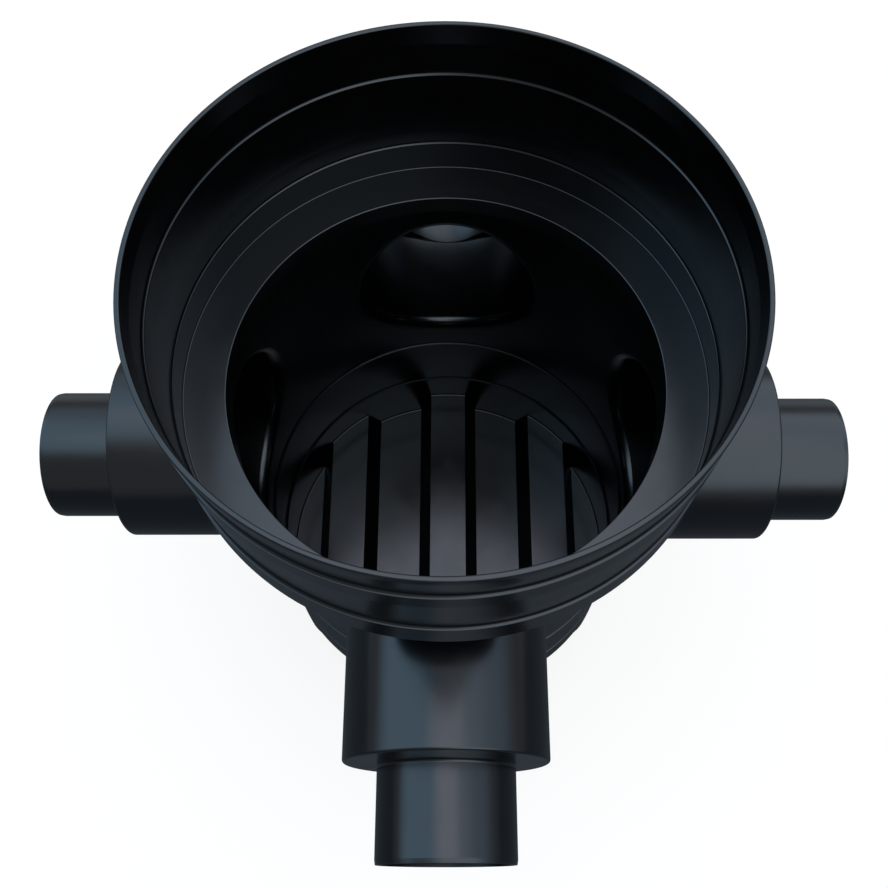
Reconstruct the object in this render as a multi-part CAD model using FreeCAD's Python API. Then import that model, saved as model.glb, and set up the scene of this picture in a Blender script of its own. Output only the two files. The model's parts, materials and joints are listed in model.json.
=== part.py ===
import FreeCAD, Part
import math
import os

from FreeCAD import Vector

# Catchpit chamber, moulded in one piece. Millimetres, +Z up, origin under the middle of the base.
# The outlet points along +X, and the three inlets along -X, -Y and +Y.

# Wall thickness of the whole moulding
wall = 3.0

# Riser socket at the top, drafted so that it narrows towards its foot
riser_r = 200.0
riser_clearance = 0.25
socket_depth = 147.0
socket_draft = 0.6
foot_outer_slope = 3.0

# Two beads rolled into the socket wall, which centre the riser pipe
mouth_bead_height = 2.75
socket_bead_depths = (43.5, 117.5)
socket_bead_land = 1.6
socket_groove_depth = 2.6
socket_groove_ledge = 1.0
socket_groove_run = 4.5

# Sump under the shelf, with two smaller beads below the spigots
sump_inner_r = 169.0
silt_depth = 178.0
shelf_edge_slope = 0.8
sump_bead_drop = 29.5
sump_bead_pitch = 76.0
sump_bead_height = 1.8
sump_groove_depth = 1.6
base_edge_slope = 3.0

# Corrugated floor: three raised strips along Y, one in the middle and one on each side
floor_rise = 32.0
middle_strip_top = 39.4
side_strip_top = 39.2
side_strip_centre = 109.9
strip_flank_run = 11.6
strip_top_round = 1.0
strip_foot_round = 1.0
channel_round = 1.0

# Stepped pipe spigots: a 160 pipe size next to the sump, then a 110 pipe size with its invert in line
large_spigot_r = 80.0
small_spigot_r = 55.0
shoulder_reach = 271.0
spigot_reach = 343.0
outlet_fall = 11.0
invert_step = 0.3
crown_cover = 38.0
shoulder_slope = 3.0
step_root_slope = 2.0
large_land_length = 93.0
spigot_draft = 0.6
tip_length = 3.5
tip_depth = 0.6
branch_outer_slope = 4.5
branch_inner_slope = 6.0

# Distance by which a solid runs past the face that it cuts or joins
overrun = 5.0

# Turn about Z that keeps the seam of each revolved form between two spigots
seam_angle = 45.0

# Distance within which a point counts as lying on a surface
on_surface = 0.2

# Radii and levels that follow from the sizes above
bead_r = riser_r + riser_clearance
mouth_inner_r = bead_r + mouth_bead_height
sump_outer_r = sump_inner_r + wall
large_bore_r = large_spigot_r - wall
small_bore_r = small_spigot_r - wall
spigot_offset = large_spigot_r - small_spigot_r - invert_step
large_land_start = shoulder_reach - large_land_length
draft_slope = math.tan(math.radians(spigot_draft))
branch_start = sump_inner_r - large_spigot_r
floor_low = wall
floor_high = floor_low + floor_rise
outlet_invert = floor_low + silt_depth
outlet_axis = outlet_invert + large_bore_r
inlet_axis = outlet_axis + outlet_fall
upper_bead = outlet_invert - sump_bead_drop
sump_beads = (upper_bead - sump_bead_pitch, upper_bead)
shelf_underside = inlet_axis + large_spigot_r + crown_cover
shelf_top = shelf_underside + wall
overall_height = shelf_top + socket_depth
socket_beads = [overall_height - depth for depth in reversed(socket_bead_depths)]

# Horizontal thickness of a sloped flank of the floor
flank_wall = wall * math.hypot(floor_rise, strip_flank_run) / floor_rise

# Direction of each spigot about Z in degrees, and the height of its large axis
spigots = ((0.0, outlet_axis), (90.0, inlet_axis), (180.0, inlet_axis), (270.0, inlet_axis))


def turned(shape, angle):
    """A copy of a shape, turned about Z."""
    copy = shape.copy()
    copy.rotate(Vector(0, 0, 0), Vector(0, 0, 1), angle)
    return copy


class Outline:
    """Half-section of a body of revolution, drawn point by point in radius and height."""

    def __init__(self, radius, height):
        self.points = [Vector(radius, 0, height)]

    def line(self, radius, height):
        self.points.append(Vector(radius, 0, height))

    def bead(self, radius, height, depth, land=0.0):
        """Inward roll with sloped flanks, centred on a height of an upward wall."""
        self.line(radius, height - land / 2 - depth)
        self.line(radius - depth, height - land / 2)
        if land:
            self.line(radius - depth, height + land / 2)
        self.line(radius, height + land / 2 + depth)

    def solid(self):
        face = Part.Face(Part.makePolygon(self.points + self.points[:1]))
        return turned(face.revolve(Vector(0, 0, 0), Vector(0, 0, 1), 360), seam_angle)


def socket_inner_at(height):
    """Inner radius of the drafted socket wall at a height."""
    return mouth_inner_r - (overall_height - height) * math.tan(math.radians(socket_draft))


def outside():
    """Outer form of socket and sump, without the spigots. The socket steps in at each groove."""
    section = Outline(0, 0)
    section.line(sump_outer_r - base_edge_slope, 0)
    section.line(sump_outer_r, base_edge_slope)
    for height in sump_beads:
        section.bead(sump_outer_r, height, sump_groove_depth)
    section.line(sump_outer_r, shelf_underside)
    radius = socket_inner_at(socket_beads[0]) + wall
    section.line(radius - foot_outer_slope, shelf_underside)
    section.line(radius, shelf_underside + foot_outer_slope)
    for height, band_top in zip(socket_beads, socket_beads[1:] + [overall_height]):
        section.line(radius, height - socket_groove_ledge)
        section.line(radius - socket_groove_depth, height)
        radius = socket_inner_at(band_top) + wall
        section.line(radius, height + socket_groove_run)
    section.line(radius, overall_height)
    section.line(0, overall_height)
    return section.solid()


def inside():
    """Open space of socket and sump, down to the low strips of the floor."""
    section = Outline(0, floor_low)
    section.line(sump_inner_r, floor_low)
    for height in sump_beads:
        section.bead(sump_inner_r, height, sump_bead_height)
    section.line(sump_inner_r, shelf_top - shelf_edge_slope)
    section.line(sump_inner_r + shelf_edge_slope, shelf_top)
    section.line(socket_inner_at(shelf_top), shelf_top)
    for height in socket_beads:
        radius = socket_inner_at(height)
        section.bead(radius, height, radius - bead_r, socket_bead_land)
    above = overall_height + overrun
    section.line(socket_inner_at(above), above)
    section.line(0, above)
    return section.solid()


def strip(centre, top_width, low, high, inset):
    """Trapezoid bar along Y under one raised strip, with both flanks brought in by an inset."""
    slope = strip_flank_run / floor_rise
    half_low = top_width / 2 + (floor_high - low) * slope - inset
    half_high = top_width / 2 + (floor_high - high) * slope - inset
    start = -sump_outer_r - overrun
    corners = [
        Vector(centre - half_low, start, low),
        Vector(centre + half_low, start, low),
        Vector(centre + half_high, start, high),
        Vector(centre - half_high, start, high),
    ]
    face = Part.Face(Part.makePolygon(corners + corners[:1]))
    return face.extrude(Vector(0, -2 * start, 0))


def strips(low, high, inset):
    """The middle strip and both side strips as bars."""
    places = (
        (-side_strip_centre, side_strip_top),
        (0.0, middle_strip_top),
        (side_strip_centre, side_strip_top),
    )
    return [strip(centre, top_width, low, high, inset) for centre, top_width in places]


def long_edges(shape, height):
    """Edges along Y that lie at a height."""
    found = []
    for edge in shape.Edges:
        box = edge.BoundBox
        level = abs(box.ZMin - height) < on_surface and abs(box.ZMax - height) < on_surface
        if level and box.XLength < on_surface:
            found.append(edge)
    return found


def floor_block():
    """Everything under the upper face of the corrugated floor, with its edges rounded."""
    reach = sump_outer_r + overrun
    block = Part.makeBox(2 * reach, 2 * reach, floor_low + overrun, Vector(-reach, -reach, -overrun))
    block = block.fuse(strips(-overrun, floor_high, 0.0)).removeSplitter()
    block = block.makeFillet(strip_top_round, long_edges(block, floor_high))
    feet = [edge for edge in long_edges(block, floor_low) if abs(edge.CenterOfMass.x) < sump_outer_r]
    return block.makeFillet(strip_foot_round, feet)


def channels():
    """Hollows under the raised strips, which keep the floor at one wall thickness."""
    top = floor_high - wall
    bars = strips(-overrun, top, flank_wall)
    return [bar.makeFillet(channel_round, long_edges(bar, top)) for bar in bars]


def pipe(radius, start, end, height):
    """Round bar along X."""
    return Part.makeCylinder(radius, end - start, Vector(start, 0, height), Vector(1, 0, 0))


def taper(start_r, end_r, start, length, height):
    """Round bar along X that changes radius."""
    return Part.makeCone(start_r, end_r, length, Vector(start, 0, height), Vector(1, 0, 0))


def large_root_r(reach):
    """Outer radius of the large pipe behind its straight land, where it widens towards the sump."""
    return large_spigot_r + (large_land_start - reach) * draft_slope


def root_limit_r(reach):
    """Radius about the large axis that the root of the small pipe stays within, drafted towards the tip."""
    return large_spigot_r - invert_step / 2 - (reach - shoulder_reach) * draft_slope


def large_step(height):
    """Straight land of the large pipe with a sloped rim, and its drafted root."""
    land = pipe(large_spigot_r, large_land_start, shoulder_reach, height)
    rim = [edge for edge in land.Edges if edge.BoundBox.XMin > shoulder_reach - on_surface]
    land = land.makeChamfer(shoulder_slope, rim)
    root_length = large_land_start - branch_start
    root = taper(large_root_r(branch_start), large_spigot_r, branch_start, root_length, height)
    return land.fuse(root)


def small_step(height):
    """Small pipe with its tip, and a sloped root that stays within the outline of the large pipe."""
    low_axis = height - spigot_offset
    start = shoulder_reach - shoulder_slope - overrun
    straight_end = spigot_reach - tip_length
    root_r = small_spigot_r + step_root_slope
    root = pipe(root_r, start, shoulder_reach, low_axis)
    root = root.fuse(taper(root_r, small_spigot_r, shoulder_reach, step_root_slope, low_axis))
    end = shoulder_reach + step_root_slope + overrun
    root = root.common(taper(root_limit_r(start), root_limit_r(end), start, end - start, height))
    straight = pipe(small_spigot_r, start, straight_end, low_axis)
    tip = taper(small_spigot_r, small_spigot_r - tip_depth, straight_end, tip_length, low_axis)
    return root.fuse([straight, tip])


def spigot_outside(height):
    """Both outer steps of one spigot, along X."""
    return large_step(height).fuse(small_step(height))


def spigot_inside(height):
    """Both bores of one spigot, along X."""
    step = shoulder_reach - wall
    large = pipe(large_bore_r, branch_start, step, height)
    small = pipe(small_bore_r, step - overrun, spigot_reach + overrun, height - spigot_offset)
    return large.fuse(small)


def branch_edges(shape, wall_r, pipe_r_at):
    """Edges where the large pipes of the spigots run into the sump wall."""
    found = []
    for edge in shape.Edges:
        point = edge.valueAt((edge.FirstParameter + edge.LastParameter) / 2)
        on_wall = abs(math.hypot(point.x, point.y) - wall_r) < on_surface
        for angle, height in spigots:
            turn = math.radians(angle)
            along = math.cos(turn) * point.x + math.sin(turn) * point.y
            across = math.cos(turn) * point.y - math.sin(turn) * point.x
            on_pipe = abs(math.hypot(across, point.z - height) - pipe_r_at(along)) < on_surface
            if on_wall and on_pipe and along > 0:
                found.append(edge)
    return found


def chamber_body():
    """The whole moulding."""
    outer = outside().fuse([turned(spigot_outside(height), angle) for angle, height in spigots])
    outer = outer.removeSplitter()
    outer = outer.makeChamfer(branch_outer_slope, branch_edges(outer, sump_outer_r, large_root_r))
    inner = inside().fuse([turned(spigot_inside(height), angle) for angle, height in spigots])
    inner = inner.removeSplitter()
    mouths = branch_edges(inner, sump_inner_r, lambda reach: large_bore_r)
    inner = inner.makeChamfer(branch_inner_slope, mouths)
    inner = inner.cut(floor_block())
    return outer.cut(channels()).cut(inner).removeSplitter()


os.makedirs("parts", exist_ok=True)
chamber_body().exportStep("parts/chamber_body.step")
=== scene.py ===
import bmesh
import bpy
import json
import math
from mathutils import Matrix, Vector


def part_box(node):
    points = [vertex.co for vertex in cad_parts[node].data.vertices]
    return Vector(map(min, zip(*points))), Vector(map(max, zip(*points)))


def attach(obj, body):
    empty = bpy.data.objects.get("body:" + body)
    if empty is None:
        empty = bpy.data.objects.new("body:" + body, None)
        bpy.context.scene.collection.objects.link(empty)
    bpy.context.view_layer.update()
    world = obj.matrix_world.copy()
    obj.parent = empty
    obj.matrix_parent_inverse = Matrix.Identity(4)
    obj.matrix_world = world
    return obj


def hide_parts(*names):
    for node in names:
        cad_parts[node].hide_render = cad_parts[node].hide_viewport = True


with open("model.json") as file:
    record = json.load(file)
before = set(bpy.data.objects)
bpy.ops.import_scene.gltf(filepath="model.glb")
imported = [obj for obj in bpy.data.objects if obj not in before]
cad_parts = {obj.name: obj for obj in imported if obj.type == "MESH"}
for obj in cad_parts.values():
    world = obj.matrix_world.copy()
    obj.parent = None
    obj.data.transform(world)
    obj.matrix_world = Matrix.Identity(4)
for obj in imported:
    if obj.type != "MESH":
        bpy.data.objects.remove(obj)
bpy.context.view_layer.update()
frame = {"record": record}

# Sizes that the frame gives, in metres
mounts = {mount["name"]: mount for mount in frame["record"]["mounts"]}
cad_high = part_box("chamber_body")[1]
overall_height = cad_high.z
spigot_reach = cad_high.x
shelf_top = mounts["riser_shelf"]["pos_m"][2]
large_r = mounts["outlet_160"]["dims"]["r_mm"] / 1000
small_r = mounts["outlet_110"]["dims"]["r_mm"] / 1000
spigot_offset = mounts["outlet_160"]["pos_m"][2] - mounts["outlet_110"]["pos_m"][2]

# Spigots, each a quarter turn on from the one before
spigot_names = ("outlet", "inlet_left", "inlet_back", "inlet_right")

# Wall, lip and shelf
wall = 0.003
lip_round = 0.0012
foot_outer_round = 0.005
foot_inner_round = 0.0008
shelf_edge_round = 0.001
neck_round = 0.004

# Socket, with a lead-in under its lip and two beads inside that show as grooves outside
lip_inner_r = 0.2031
lip_outer_r = 0.2067
lead_in_depth = 0.0165
lead_in_draft = math.radians(5)
lead_in_round = 0.006
socket_draft = math.radians(0.1)
foot_r = 0.2000
bead_crest_r = 0.2000
bead_depths = (0.0450, 0.1190)
bead_flank = math.radians(56)
bead_edge_round = 0.0030
bead_top_round = 0.0010
bead_return = 0.055
bead_foot_round = 0.05
groove_depths = (0.0368, 0.1152)
groove_inset = 0.0026
groove_ledge = 0.0007
groove_runs = (0.030, 0.060)
groove_edge_round = 0.0003
groove_root_round = 0.0024
groove_shoulder_round = 0.04
outer_draft = math.radians(0.8)

# Sump and its beads, each with its depth and the runs below and above its crest
sump_inner_r = 0.169
hole_r = 0.1671
sump_bead_heights = (0.0755, 0.1515)
sump_bead = (0.0018, 0.0024, 0.0014)
sump_groove = (0.0030, 0.0009, 0.007)
sump_bead_edge_round = 0.0005
sump_bead_top_round = 0.0004

# Corrugated floor, each strip with its place along X and the width of its top
floor_rise = 0.032
strips = ((-0.1099, 0.0392), (0.0, 0.0394), (0.1099, 0.0392))
strip_flank_run = 0.0116
strip_round = 0.0009
channel_round = 0.001
floor_edge_round = 0.0012
base_edge_round = 0.005

# Spigots: reach of the large step, rounds of branches, steps and bores, and the slope at the tip
shoulder_reach = 0.271
branch_outer_round = 0.006
branch_inner_round = 0.009
shoulder_round = 0.0022
step_root_round = 0.0022
bore_rim_round = 0.002
bore_edge_round = 0.0015
fade_margin = 0.00015
tip_length = 0.0035
tip_depth = 0.0006
tip_rounds = (0.001, 0.0003, 0.0003)

# Fineness of the mesh
columns = 192
side_rows = 40
band_rings = 6
arc_steps = 5
sharp_angle = math.radians(40)
weld_distance = 0.000002

# Levels and radii that follow
sump_outer_r = sump_inner_r + wall
shelf_underside = shelf_top - wall
bead_heights = [overall_height - depth for depth in bead_depths]
groove_heights = [overall_height - depth for depth in groove_depths]
floor_low = wall
floor_high = floor_low + floor_rise
flank_slope = strip_flank_run / floor_rise
flank_wall = wall * math.hypot(floor_rise, strip_flank_run) / floor_rise

# Heights between which the sump wall is cut into rings and panels
ring_above_floor = 0.007
ring_height = floor_high + ring_above_floor
band_low = 0.160
band_top = 0.372


def rounded(corners):
    """Points of a line through corners, each given as two coordinates and a rounding."""
    line = []
    for index, (first, second, radius) in enumerate(corners):
        here = Vector((first, second))
        if not radius:
            line.append(here)
            continue
        back = (Vector(corners[index - 1][:2]) - here).normalized()
        ahead = (Vector(corners[index + 1][:2]) - here).normalized()
        half = back.angle(ahead) / 2
        centre = here + (back + ahead).normalized() * radius / math.sin(half)
        start = here + back * radius / math.tan(half) - centre
        end = here + ahead * radius / math.tan(half) - centre
        for step in range(arc_steps + 1):
            line.append(centre + start.lerp(end, step / arc_steps).normalized() * radius)
    return line


def socket_inner_at(height):
    """Inner radius of the socket wall below its lead-in."""
    lead_in = lead_in_depth * math.tan(lead_in_draft)
    below = overall_height - lead_in_depth - height
    return lip_inner_r - lead_in - below * math.tan(socket_draft)


def socket_outer_at(height):
    """Outer radius of the socket wall, which is drafted."""
    return lip_outer_r - (overall_height - height) * math.tan(outer_draft)


def socket_groove(height, run, radius, radius_above):
    """Corners of a groove in the socket's outer wall, which is followed upwards."""
    return [
        (radius, height - groove_ledge, groove_edge_round),
        (radius - groove_inset, height, groove_root_round),
        (radius_above, height + run, groove_shoulder_round),
    ]


def socket_bead(height):
    """Corners of a bead's upper side on the socket's inner wall, which is followed downwards."""
    radius = socket_inner_at(height)
    run = (radius - bead_crest_r) / math.tan(bead_flank)
    return [
        (radius, height + run, bead_edge_round),
        (bead_crest_r, height, bead_top_round),
    ]


def upper_section():
    """Section from the sump's outer wall over the lip to its inner wall."""
    radius = socket_outer_at(groove_heights[-1])
    corners = [
        (sump_outer_r, band_top, 0),
        (sump_outer_r, shelf_underside, neck_round),
        (radius, shelf_underside, foot_outer_round),
    ]
    tops = (overall_height, groove_heights[0])
    for height, run, top in reversed(list(zip(groove_heights, groove_runs, tops))):
        radius_above = socket_outer_at(top)
        corners += socket_groove(height, run, radius, radius_above)
        radius = radius_above
    corners.append((radius, overall_height, lip_round))
    corners.append((lip_inner_r, overall_height, lip_round))
    lead_in_end = overall_height - lead_in_depth
    corners.append((socket_inner_at(lead_in_end), lead_in_end, lead_in_round))
    upper_bead, lower_bead = bead_heights
    corners += socket_bead(upper_bead)
    corners.append((socket_inner_at(lower_bead), upper_bead - bead_return, bead_foot_round))
    corners += socket_bead(lower_bead)
    corners.append((foot_r, shelf_top, foot_inner_round))
    corners.append((hole_r, shelf_top, shelf_edge_round))
    corners.append((sump_inner_r, band_top, 0))
    return rounded(corners)


def lower_section(radius, inset, run_below, run_above):
    """Section of the sump's wall below the spigots, with its beads."""
    corners = [(radius, ring_height, 0)]
    for height in sump_bead_heights:
        corners.append((radius, height - run_below, sump_bead_edge_round))
        corners.append((radius - inset, height, sump_bead_top_round))
        corners.append((radius, height + run_above, sump_bead_edge_round))
    corners.append((radius, band_low, 0))
    return rounded(corners)


def floor_section(low, high, inset, edge_round):
    """Section of one side of the corrugated floor, along X."""
    reach = sump_outer_r + wall
    corners = [(-reach, low, 0)]
    for centre, top_width in strips:
        half_low = top_width / 2 + (floor_high - low) * flank_slope - inset
        half_high = top_width / 2 + (floor_high - high) * flank_slope - inset
        corners.append((centre - half_low, low, edge_round))
        corners.append((centre - half_high, high, edge_round))
        corners.append((centre + half_high, high, edge_round))
        corners.append((centre + half_low, low, edge_round))
    corners.append((reach, low, 0))
    return rounded(corners)


def height_on(section, place):
    """Height of a floor section at a place along X."""
    for before, after in zip(section, section[1:]):
        if before.x <= place <= after.x:
            return before.y + (after.y - before.y) * (place - before.x) / (after.x - before.x)


class Shell:
    """Skin of the moulding, put together from loops and welded at the end."""

    def __init__(self):
        self.mesh = bmesh.new()

    def face(self, points):
        """One face through points in their order."""
        self.mesh.faces.new([self.mesh.verts.new(point) for point in points])

    def loft(self, loops):
        """Quads between closed loops that have the same number of points."""
        rows = [[self.mesh.verts.new(point) for point in loop] for loop in loops]
        for row, following in zip(rows, rows[1:]):
            for index in range(len(row)):
                corners = (row[index - 1], row[index], following[index], following[index - 1])
                self.mesh.faces.new(corners)

    def finished(self, name):
        """The welded mesh, smooth but for its sharp edges."""
        bmesh.ops.remove_doubles(self.mesh, verts=self.mesh.verts, dist=weld_distance)
        bmesh.ops.recalc_face_normals(self.mesh, faces=self.mesh.faces)
        mesh = bpy.data.meshes.new(name)
        self.mesh.to_mesh(mesh)
        self.mesh.free()
        mesh.shade_smooth()
        mesh.set_sharp_from_angle(angle=sharp_angle)
        return mesh


def on_circle(radius, angle, height):
    """Point at a radius and an angle about Z."""
    return Vector((radius * math.cos(angle), radius * math.sin(angle), height))


def revolved(section):
    """Loops of a section turned about Z."""
    angles = [2 * math.pi * index / columns for index in range(columns)]
    return [[on_circle(radius, angle, height) for angle in angles] for radius, height in section]


def panel_edge():
    """Angle and height around the edge of one spigot's quarter of the sump wall, clockwise from outside."""
    across = columns // 4
    wide = [math.pi * (2 * index / across - 1) / 4 for index in range(across)]
    tall = [band_top + (band_low - band_top) * index / side_rows for index in range(side_rows)]
    edge = [(angle, band_top) for angle in wide]
    edge += [(math.pi / 4, height) for height in tall]
    edge += [(-angle, band_low) for angle in wide]
    edge += [(-math.pi / 4, band_low + band_top - height) for height in tall]
    return edge


def arc(start, corner, end):
    """Points of a round that leaves along start to corner and arrives along corner to end."""
    weight = math.cos((corner - start).angle(end - corner) / 2)
    points = []
    for index in range(arc_steps + 1):
        along = index / arc_steps
        parts = ((1 - along) ** 2, 2 * weight * along * (1 - along), along ** 2)
        points.append((start * parts[0] + corner * parts[1] + end * parts[2]) / sum(parts))
    return points


def branch_loops(edge, turns, axis, wall_r, pipe_r, branch_round):
    """Loops from the edge of a wall panel to the pipe that branches off it, along X."""
    starts = []
    arcs = []
    for turn in turns:
        across = pipe_r * math.sin(turn)
        height = axis + pipe_r * math.cos(turn)
        along_wall = wall_r * math.asin(across / wall_r)
        stretch = math.sqrt(1 - (across / wall_r) ** 2)
        outward = Vector((across, pipe_r * math.cos(turn) / stretch)).normalized()
        start = Vector((along_wall, height)) + outward * branch_round
        angle = start.x / wall_r
        first = on_circle(wall_r, angle, start.y)
        corner = Vector(((wall_r - across * math.sin(angle)) / math.cos(angle), across, height))
        end = corner + Vector(((corner - first).length, 0, 0))
        starts.append(start)
        arcs.append(arc(first, corner, end))
    loops = []
    for ring in range(band_rings):
        loop = []
        for (angle, height), start in zip(edge, starts):
            place = Vector((wall_r * angle, height)).lerp(start, ring / band_rings)
            loop.append(on_circle(wall_r, place.x / wall_r, place.y))
        loops.append(loop)
    return loops + [list(loop) for loop in zip(*arcs)]


def on_small_pipe(radius, turn, along, axis):
    """Point about the axis of a spigot's small step, which lies lower than that of its large one."""
    return Vector((along, radius * math.sin(turn), axis - spigot_offset + radius * math.cos(turn)))


def step_loops(turns, axis, pipe_r, end_r, face, rim_round, root_round):
    """Loops from the end of the large pipe over the step to the small pipe, which lies lower."""
    lines = []
    for turn in turns:
        lean = spigot_offset * math.cos(turn)
        aside = spigot_offset * math.sin(turn)
        fade_r = lean + math.sqrt((pipe_r - fade_margin) ** 2 - aside ** 2)
        root = min(root_round, fade_r - end_r)
        root_r = end_r + root
        rim_r = pipe_r - rim_round
        root_reach = math.hypot(root_r - lean, aside)
        sweep = math.acos(min(max((root_reach - rim_r) / rim_round, 0), 1))
        line = []
        for index in range(arc_steps + 1):
            angle = sweep * index / arc_steps
            reach = rim_r + rim_round * math.cos(angle)
            radius = lean + math.sqrt(reach ** 2 - aside ** 2)
            line.append((radius, face - rim_round + rim_round * math.sin(angle)))
        root_start = line[-1][1]
        for index in range(arc_steps + 1):
            angle = math.pi / 2 * index / arc_steps
            line.append((root_r - root * math.sin(angle), root_start + root * (1 - math.cos(angle))))
        lines.append([on_small_pipe(radius, turn, along, axis) for radius, along in line])
    return [list(loop) for loop in zip(*lines)]


def spigot_loops(axis):
    """Loops of one spigot along X, from the outer wall over its tip and back to the inner wall."""
    edge = panel_edge()
    turns = [math.atan2(sump_outer_r * angle, height - axis) for angle, height in edge]
    low_turns = []
    for turn in turns:
        low_turns.append(math.atan2(large_r * math.sin(turn), large_r * math.cos(turn) + spigot_offset))
    bore_r = large_r - wall
    end_bore_r = small_r - wall
    outer = branch_loops(edge, turns, axis, sump_outer_r, large_r, branch_outer_round)
    outer += step_loops(low_turns, axis, large_r, small_r, shoulder_reach, shoulder_round, step_root_round)
    inner = branch_loops(edge, turns, axis, sump_inner_r, bore_r, branch_inner_round)
    inner += step_loops(
        low_turns, axis, bore_r, end_bore_r, shoulder_reach - wall, bore_rim_round, bore_edge_round
    )
    tip = rounded([
        (small_r, shoulder_reach, 0),
        (small_r, spigot_reach - tip_length, tip_rounds[0]),
        (small_r - tip_depth, spigot_reach, tip_rounds[1]),
        (end_bore_r, spigot_reach, tip_rounds[2]),
        (end_bore_r, shoulder_reach, 0),
    ])[1:-1]
    over = [[on_small_pipe(radius, turn, along, axis) for turn in low_turns] for radius, along in tip]
    return outer + over + inner[::-1]


def floor_edge(section, radius, edge_round, angle):
    """Points from the floor up to the wall at an angle, round the edge between them."""
    flat_r = radius - edge_round
    height = height_on(section, flat_r * math.cos(angle))
    points = []
    for index in range(arc_steps + 1):
        lean = math.pi / 2 * index / arc_steps
        reach = flat_r + edge_round * math.sin(lean)
        points.append(on_circle(reach, angle, height + edge_round * (1 - math.cos(lean))))
    return points


def add_floor(shell, section, radius, edge_round):
    """One side of the floor inside a radius, its rounded edge, and the wall from there up to the ring."""
    flat_r = radius - edge_round
    even = [math.pi * index / (columns // 2) for index in range(columns // 2 + 1)]
    breaks = [math.acos(point.x / flat_r) for point in section if abs(point.x) < flat_r]
    angles = sorted(even + breaks)
    for side in (1, -1):
        lines = {angle: floor_edge(section, radius, edge_round, side * angle) for angle in angles}
        for first, last in zip(angles, angles[1:]):
            for step in range(arc_steps):
                before = lines[first][step:step + 2]
                after = lines[last][step:step + 2]
                shell.face(before + after[::-1])
        for first, last in zip(even, even[1:]):
            points = [on_circle(radius, side * first, ring_height)]
            points += [lines[angle][-1] for angle in angles if first <= angle <= last]
            points.append(on_circle(radius, side * last, ring_height))
            shell.face(points)
    for first, last in zip(angles, angles[1:]):
        corners = (first, last, -last, -first)
        shell.face([floor_edge(section, radius, edge_round, angle)[0] for angle in corners])


def chamber_mesh():
    """The whole moulding as one closed skin."""
    shell = Shell()
    shell.loft(revolved(upper_section()))
    shell.loft(revolved(lower_section(sump_outer_r, *sump_groove)))
    shell.loft(revolved(lower_section(sump_inner_r, *sump_bead)))
    for quarter, name in enumerate(spigot_names):
        turn = Matrix.Rotation(quarter * math.pi / 2, 3, "Z")
        axis = mounts[name + "_160"]["pos_m"][2]
        shell.loft([[turn @ point for point in loop] for loop in spigot_loops(axis)])
    upper = floor_section(floor_low, floor_high, 0, strip_round)
    under = floor_section(0, floor_high - wall, flank_wall, channel_round)
    add_floor(shell, upper, sump_inner_r, floor_edge_round)
    add_floor(shell, under, sump_outer_r, base_edge_round)
    return shell.finished("chamber")


# Colour sockets of a Mix node
mix_lower = 6
mix_upper = 7
mix_result = 2

# Black plastic: its tone, gloss and uneven skin, with the scale and detail of the noises that vary them
# The IOR and specular tint make the reflections brighter and bluer than black plastic's own: a painted cool
# sheen that stands in for the bluish light of the studio
plastic_ior = 1.70
painted_cool_sheen = (0.84, 0.92, 1.0, 1)
tone_range = ((0.0010, 0.0010, 0.0011, 1), (0.0022, 0.0022, 0.0024, 1))
tone_noise = (14, 3)
gloss_range = (0.19, 0.25)
gloss_noise = (40, 4)
skin_noise = (220, 2)
skin_strength = 0.12
skin_height = 0.0001
noise_spread = (0.3, 0.7)


def noise(tree, place, scale, detail):
    """Value of a noise texture whose scale counts its features in a metre."""
    node = tree.nodes.new("ShaderNodeTexNoise")
    node.inputs["Scale"].default_value = scale
    node.inputs["Detail"].default_value = detail
    tree.links.new(place, node.inputs["Vector"])
    return node.outputs["Fac"]


def ranged(tree, value, low, high):
    """A noise value spread over a range."""
    node = tree.nodes.new("ShaderNodeMapRange")
    node.inputs["From Min"].default_value = noise_spread[0]
    node.inputs["From Max"].default_value = noise_spread[1]
    node.inputs["To Min"].default_value = low
    node.inputs["To Max"].default_value = high
    tree.links.new(value, node.inputs["Value"])
    return node.outputs["Result"]


def black_plastic():
    """Glossy black plastic with the slight unevenness of a moulded skin."""
    material = bpy.data.materials.new("black_plastic")
    material.use_nodes = True
    tree = material.node_tree
    shader = tree.nodes["Principled BSDF"]
    shader.inputs["IOR"].default_value = plastic_ior
    # Specular tint: a painted cool-blue sheen on every reflection, carrying the colour of the studio light
    shader.inputs["Specular Tint"].default_value = painted_cool_sheen
    place = tree.nodes.new("ShaderNodeTexCoord").outputs["Object"]
    tone = tree.nodes.new("ShaderNodeMix")
    tone.data_type = "RGBA"
    tone.inputs[mix_lower].default_value = tone_range[0]
    tone.inputs[mix_upper].default_value = tone_range[1]
    tree.links.new(ranged(tree, noise(tree, place, *tone_noise), 0, 1), tone.inputs["Factor"])
    tree.links.new(tone.outputs[mix_result], shader.inputs["Base Color"])
    gloss = ranged(tree, noise(tree, place, *gloss_noise), *gloss_range)
    tree.links.new(gloss, shader.inputs["Roughness"])
    skin = tree.nodes.new("ShaderNodeBump")
    skin.inputs["Strength"].default_value = skin_strength
    skin.inputs["Distance"].default_value = skin_height
    tree.links.new(noise(tree, place, *skin_noise), skin.inputs["Height"])
    tree.links.new(skin.outputs["Normal"], shader.inputs["Normal"])
    return material


def seen_share(tree):
    """Node that is 1 for rays from the camera or through glass, and its second input for mirrored rays."""
    path = tree.nodes.new("ShaderNodeLightPath")
    direct = tree.nodes.new("ShaderNodeMath")
    direct.operation = "ADD"
    tree.links.new(path.outputs["Is Camera Ray"], direct.inputs[0])
    tree.links.new(path.outputs["Is Transmission Ray"], direct.inputs[1])
    both = tree.nodes.new("ShaderNodeMath")
    both.operation = "MULTIPLY_ADD"
    both.use_clamp = True
    tree.links.new(path.outputs["Is Glossy Ray"], both.inputs[0])
    tree.links.new(direct.outputs[0], both.inputs[2])
    return both


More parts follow.
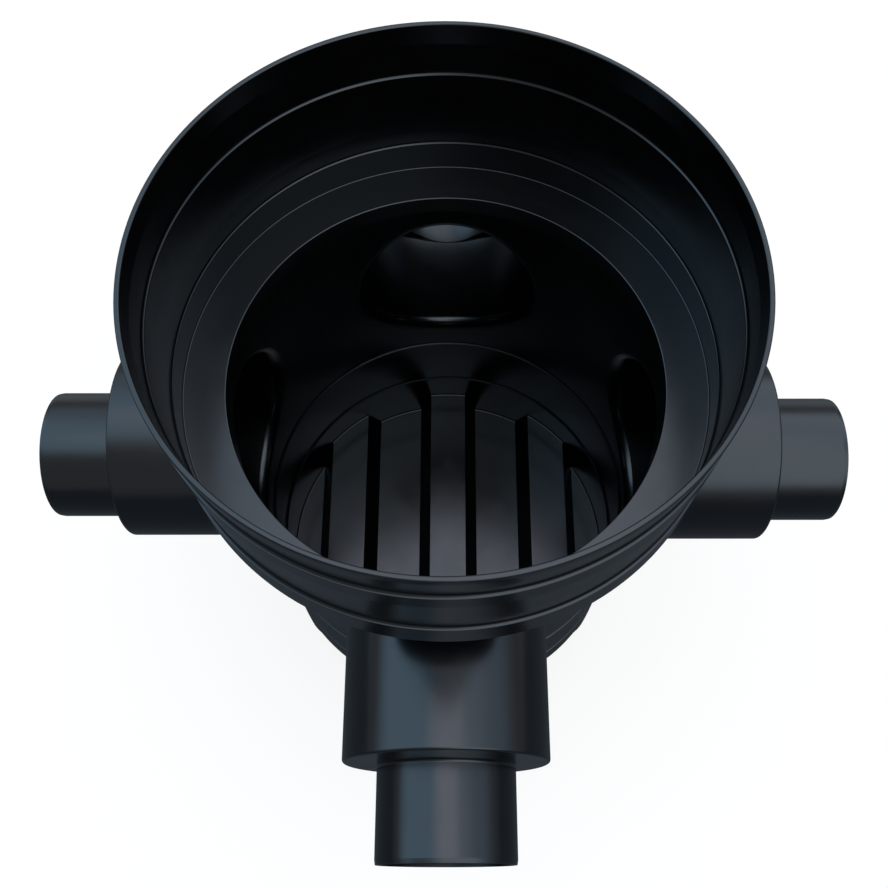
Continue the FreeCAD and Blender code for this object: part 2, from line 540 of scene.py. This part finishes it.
# Soft light of the studio: horizon colour, and broad panels over it, each with its azimuth and elevation,
# the angles within which it is full and beyond which it is gone, in degrees, and its colour
horizon = (0.19, 0.18, 0.19)
world_white = (1, 1, 1, 1)
world_mirrored = 0.05
panels = (
    (0, 90, 58, 86, (0.56, 0.69, 0.84)),
    (170, 50, 20, 45, (0.81, 1.18, 1.44)),
    (-65, 52, 20, 48, (1.33, 1.44, 1.50)),
    (60, 48, 15, 38, (1.08, 1.21, 1.32)),
    (-125, 30, 20, 42, (0.22, 0.22, 0.23)),
    (80, 83, 7, 25, (1.73, 1.70, 1.86)),
)


def add_panel(tree, direction, azimuth, elevation, full, gone, shade):
    """Node with the colour of one panel, over the horizon or over what is linked below it."""
    turn = math.radians(azimuth)
    rise = math.radians(elevation)
    facing = tree.nodes.new("ShaderNodeVectorMath")
    facing.operation = "DOT_PRODUCT"
    facing.inputs[1].default_value = (
        math.cos(rise) * math.cos(turn), math.cos(rise) * math.sin(turn), math.sin(rise)
    )
    tree.links.new(direction, facing.inputs[0])
    fade = tree.nodes.new("ShaderNodeMapRange")
    fade.interpolation_type = "SMOOTHSTEP"
    fade.inputs["From Min"].default_value = math.cos(math.radians(gone))
    fade.inputs["From Max"].default_value = math.cos(math.radians(full))
    tree.links.new(facing.outputs["Value"], fade.inputs["Value"])
    over = tree.nodes.new("ShaderNodeMix")
    over.data_type = "RGBA"
    tree.links.new(fade.outputs["Result"], over.inputs["Factor"])
    over.inputs[mix_lower].default_value = (*horizon, 1)
    over.inputs[mix_upper].default_value = (*shade, 1)
    return over


def studio_world():
    """Soft panels all round, behind a white that only the camera sees in full."""
    world = bpy.data.worlds.new("studio")
    world.use_nodes = True
    tree = world.node_tree
    direction = tree.nodes.new("ShaderNodeTexCoord").outputs["Generated"]
    layers = [add_panel(tree, direction, *panel) for panel in panels]
    for lower, upper in zip(layers, layers[1:]):
        tree.links.new(lower.outputs[mix_result], upper.inputs[mix_lower])
    share = seen_share(tree)
    share.inputs[1].default_value = world_mirrored
    seen = tree.nodes.new("ShaderNodeMix")
    seen.data_type = "RGBA"
    tree.links.new(share.outputs[0], seen.inputs["Factor"])
    tree.links.new(layers[-1].outputs[mix_result], seen.inputs[mix_lower])
    seen.inputs[mix_upper].default_value = world_white
    tree.links.new(seen.outputs[mix_result], tree.nodes["Background"].inputs["Color"])
    return world


# Floor: what it shows of its own and of the light, and how much of its white is mirrored,
# each share with the place along Y where it begins or ends
floor_half_width = 12
floor_tone = (0.21, 0.20, 0.19, 1)
floor_glow = 0.84
floor_dim_tone = (0.080, 0.092, 0.105, 1)
mirror_near = (0.15, 0.015)
mirror_far = (0.9, 0.28)


def mirrored_share(tree):
    """Share of the floor's white that is mirrored: little in front of the object, more behind it."""
    near_place, near_share = mirror_near
    far_place, far_share = mirror_far
    place = tree.nodes.new("ShaderNodeTexCoord").outputs["Object"]
    along = tree.nodes.new("ShaderNodeSeparateXYZ")
    tree.links.new(place, along.inputs[0])
    fade = tree.nodes.new("ShaderNodeMapRange")
    fade.interpolation_type = "SMOOTHSTEP"
    fade.inputs["From Min"].default_value = near_place
    fade.inputs["From Max"].default_value = far_place
    fade.inputs["To Min"].default_value = near_share
    fade.inputs["To Max"].default_value = far_share
    tree.links.new(along.outputs["Y"], fade.inputs["Value"])
    return fade.outputs["Result"]


def pale_floor():
    """White floor that keeps a soft shadow, and that the black plastic mirrors only dimly."""
    material = bpy.data.materials.new("pale_floor")
    material.use_nodes = True
    tree = material.node_tree
    tree.nodes.clear()
    lit = tree.nodes.new("ShaderNodeBsdfDiffuse")
    lit.inputs["Color"].default_value = floor_tone
    glow = tree.nodes.new("ShaderNodeEmission")
    glow.inputs["Strength"].default_value = floor_glow
    white = tree.nodes.new("ShaderNodeAddShader")
    tree.links.new(lit.outputs[0], white.inputs[0])
    tree.links.new(glow.outputs[0], white.inputs[1])
    dim = tree.nodes.new("ShaderNodeBsdfDiffuse")
    dim.inputs["Color"].default_value = floor_dim_tone
    share = seen_share(tree)
    tree.links.new(mirrored_share(tree), share.inputs[1])
    both = tree.nodes.new("ShaderNodeMixShader")
    tree.links.new(share.outputs[0], both.inputs[0])
    tree.links.new(dim.outputs[0], both.inputs[1])
    tree.links.new(white.outputs[0], both.inputs[2])
    surface = tree.nodes.new("ShaderNodeOutputMaterial")
    tree.links.new(both.outputs[0], surface.inputs["Surface"])
    return material


def add_floor_plane():
    """Wide plane under the object, which belongs to the stage."""
    mesh = bpy.data.meshes.new("floor")
    signs = ((-1, -1), (1, -1), (1, 1), (-1, 1))
    corners = [(x * floor_half_width, y * floor_half_width, 0) for x, y in signs]
    mesh.from_pydata(corners, [], [(0, 1, 2, 3)])
    mesh.materials.append(pale_floor())
    floor = bpy.data.objects.new("floor", mesh)
    bpy.context.scene.collection.objects.link(floor)


# Camera, placed from the middle of the socket's rim, and turned a little against the object
camera_from_rim = Vector((0.0061, -0.3658, 0.5299))
camera_tilt = math.radians(23.03)
camera_roll = math.radians(0.186)
camera_turn = math.radians(-0.229)
camera_sensor = 36
camera_lens = 40.7
camera_shift = (-0.0109, 0.0305)


def add_camera():
    """Camera that sees the object as the photograph shows it."""
    data = bpy.data.cameras.new("camera")
    data.sensor_width = camera_sensor
    data.lens = camera_lens
    data.shift_x, data.shift_y = camera_shift
    camera = bpy.data.objects.new("camera", data)
    place = Matrix.Translation(Vector((0, 0, overall_height)) + camera_from_rim)
    tilt = Matrix.Rotation(camera_tilt, 4, "X") @ Matrix.Rotation(camera_roll, 4, "Z")
    camera.matrix_world = Matrix.Rotation(camera_turn, 4, "Z") @ place @ tilt
    bpy.context.scene.collection.objects.link(camera)
    bpy.context.scene.camera = camera


scene = bpy.context.scene
scene.view_settings.view_transform = "Standard"

chamber = bpy.data.objects.new("chamber", chamber_mesh())
scene.collection.objects.link(chamber)
normals = chamber.modifiers.new("even_normals", "WEIGHTED_NORMAL")
normals.keep_sharp = True
chamber.data.materials.append(black_plastic())
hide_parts("chamber_body")
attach(chamber, "root")

scene.world = studio_world()
add_floor_plane()
add_camera()
